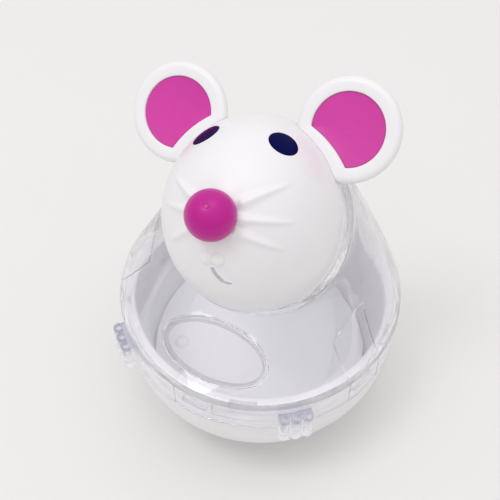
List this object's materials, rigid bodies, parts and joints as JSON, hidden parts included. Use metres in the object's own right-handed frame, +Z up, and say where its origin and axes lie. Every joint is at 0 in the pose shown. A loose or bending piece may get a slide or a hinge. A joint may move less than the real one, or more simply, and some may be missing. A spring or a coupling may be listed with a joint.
{
  "type": "mouse tumbler treat dispenser",
  "caption": "Roly-poly mouse treat dispenser: weighted white bowl, clear bayonet body with an oval outlet, and a hollow mouse head that turns in a slanted collar.",
  "frame": {"origin": "centre of the small flat under the bowl, on the bowl's axis", "axes": "+Z up along the bowl's axis, -Y the way the mouse's body faces, +X its left"},
  "size_m": [0.0861, 0.086, 0.1174],
  "materials": {
    "white_plastic": "polished white moulding",
    "clear_plastic": "polished clear moulding",
    "pink_plastic": "satin magenta moulding",
    "navy_plastic": "polished navy moulding",
    "iron": "as cast"
  },
  "bodies": {
    "root": {"base_bowl": "white_plastic", "ballast_weight": "iron", "ballast_cover": "white_plastic", "cover_pins": "white_plastic"},
    "shell": {"clear_shell": "clear_plastic", "foot_left": "clear_plastic", "foot_right": "clear_plastic"},
    "head": {"head_shell": "white_plastic", "ear_left": "white_plastic", "ear_right": "white_plastic", "ear_lining_left": "pink_plastic", "ear_lining_right": "pink_plastic", "nose": "pink_plastic", "eye_left": "navy_plastic", "eye_right": "navy_plastic"}
  },
  "joints": [
    {"name": "shell_twist", "type": "hinge", "parent": "root", "child": "shell", "pos_m": [0, 0, 0.04], "axis": [0, 0, 1], "range_deg": [0, 20]},
    {"name": "head_turn", "type": "hinge", "parent": "shell", "child": "head", "pos_m": [0, -0.0043, 0.08277], "axis": [0, -0.7169, 0.6972], "range_deg": [-100, 75]}
  ]
}
